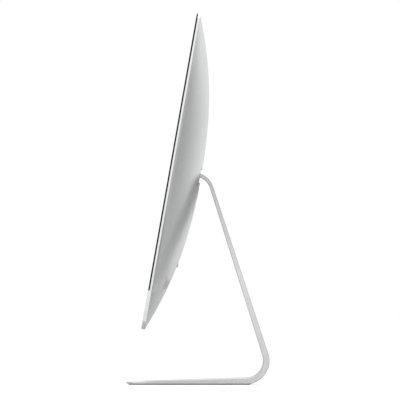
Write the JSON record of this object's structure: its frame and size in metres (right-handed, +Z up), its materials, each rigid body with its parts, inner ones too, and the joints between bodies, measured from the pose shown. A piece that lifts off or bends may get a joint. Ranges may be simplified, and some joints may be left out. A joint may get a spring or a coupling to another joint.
{
  "type": "all in one pc",
  "caption": "Desktop computer built into a thin tilting display, with ports and a memory door in its swollen metal back, on a bent plate stand with a cable hole.",
  "frame": {"origin": "centre of the footprint on the floor", "axes": "+X across the width, +Y to the back, +Z up; the screen faces -Y"},
  "size_m": [0.65, 0.203, 0.5231],
  "materials": {
    "bead_blasted_aluminium": "satin anodised",
    "screen_glass": "polished, black behind",
    "foot_rubber": "matte",
    "hinge_steel": "machined",
    "zinc_screws": "zinc plated",
    "spring_steel": "oiled",
    "sheet_steel": "galvanised",
    "black_plastic": "fine grain",
    "grey_plastic": "fine grain",
    "white_plastic": "satin",
    "panel_film": "smooth",
    "panel_cell": "smooth",
    "adhesive_foam": "foam",
    "circuit_board": "solder mask",
    "copper": "bare copper",
    "fin_aluminium": "mill finish",
    "cell_steel": "nickel plated",
    "port_steel": "plated",
    "black_paint": "powder coat",
    "drive_metal": "cast, coated",
    "lead_sleeve": "matte"
  },
  "bodies": {
    "base": {"stand": "bead_blasted_aluminium", "foot_pad": "foot_rubber", "hinge_block": "hinge_steel", "hinge_shaft": "hinge_steel", "clamp_screws": "zinc_screws"},
    "display": {"rear_housing": "bead_blasted_aluminium", "front_glass": "screen_glass", "glass_adhesive": "adhesive_foam", "lcd_panel": "panel_cell", "backlight_unit": "panel_film", "panel_tray": "sheet_steel", "slot_trim": "black_plastic", "exhaust_grille": "bead_blasted_aluminium", "antenna_window": "black_plastic", "hinge_bracket_left": "hinge_steel", "hinge_bracket_right": "hinge_steel", "friction_washers": "spring_steel", "tilt_spring_left": "spring_steel", "tilt_spring_right": "spring_steel", "bracket_screws": "zinc_screws", "logic_board": "circuit_board", "coin_cell": "cell_steel", "cold_plate": "copper", "heat_pipes": "copper", "heatsink_fins": "fin_aluminium", "fan_housing": "black_plastic", "fan_cover": "sheet_steel", "solid_state_module": "circuit_board", "wireless_card": "circuit_board", "memory_sockets": "black_plastic", "memory_module_a": "circuit_board", "memory_module_b": "circuit_board", "memory_cage": "sheet_steel", "power_switch": "black_plastic", "power_inlet": "white_plastic", "audio_jack": "black_plastic", "card_slot": "port_steel", "data_ports": "port_steel", "display_ports": "port_steel", "network_port": "port_steel", "power_supply": "black_paint", "hard_drive": "drive_metal", "drive_bracket": "sheet_steel", "speaker_left": "black_plastic", "speaker_right": "black_plastic", "speaker_driver_left": "grey_plastic", "speaker_driver_right": "grey_plastic", "camera_module": "black_plastic", "display_ribbon": "grey_plastic", "camera_lead": "lead_sleeve", "supply_lead": "lead_sleeve", "inlet_lead": "lead_sleeve", "drive_lead": "lead_sleeve", "speaker_leads": "lead_sleeve"},
    "memory_door": {"memory_door": "bead_blasted_aluminium"},
    "door_release": {"door_release_button": "grey_plastic"},
    "power_key": {"power_button": "bead_blasted_aluminium"},
    "latch_left": {"memory_latch_left": "black_plastic"},
    "latch_right": {"memory_latch_right": "black_plastic"},
    "fan": {"fan_rotor": "black_plastic"}
  },
  "joints": [
    {"name": "screen_tilt", "type": "hinge", "parent": "base", "child": "display", "pos_m": [0, -0.0113, 0.30516], "axis": [-1, 0, 0], "range_deg": [-15, 15]},
    {"name": "memory_door_hinge", "type": "hinge", "parent": "display", "child": "memory_door", "pos_m": [0, -0.0047, 0.25566], "axis": [1, 0, 0], "range_deg": [0, 30]},
    {"name": "door_release_press", "type": "slide", "parent": "display", "child": "door_release", "axis": [0, -0.9848, 0.1736], "range_m": [0, 0.0015], "stiffness_N_per_m": 400, "springref_m": -0.001},
    {"name": "power_press", "type": "slide", "parent": "display", "child": "power_key", "axis": [0, -0.9848, 0.1736], "range_m": [0, 0.0006], "stiffness_N_per_m": 1500, "springref_m": -0.0005},
    {"name": "memory_latch_left_slide", "type": "slide", "parent": "display", "child": "latch_left", "axis": [-1, 0, 0], "range_m": [0, 0.003]},
    {"name": "memory_latch_right_slide", "type": "slide", "parent": "display", "child": "latch_right", "axis": [1, 0, 0], "range_m": [0, 0.003]},
    {"name": "fan_spin", "type": "hinge", "parent": "display", "child": "fan", "pos_m": [-0.111, -0.03299, 0.23974], "axis": [0, 0.9848, -0.1736], "continuous": true}
  ]
}
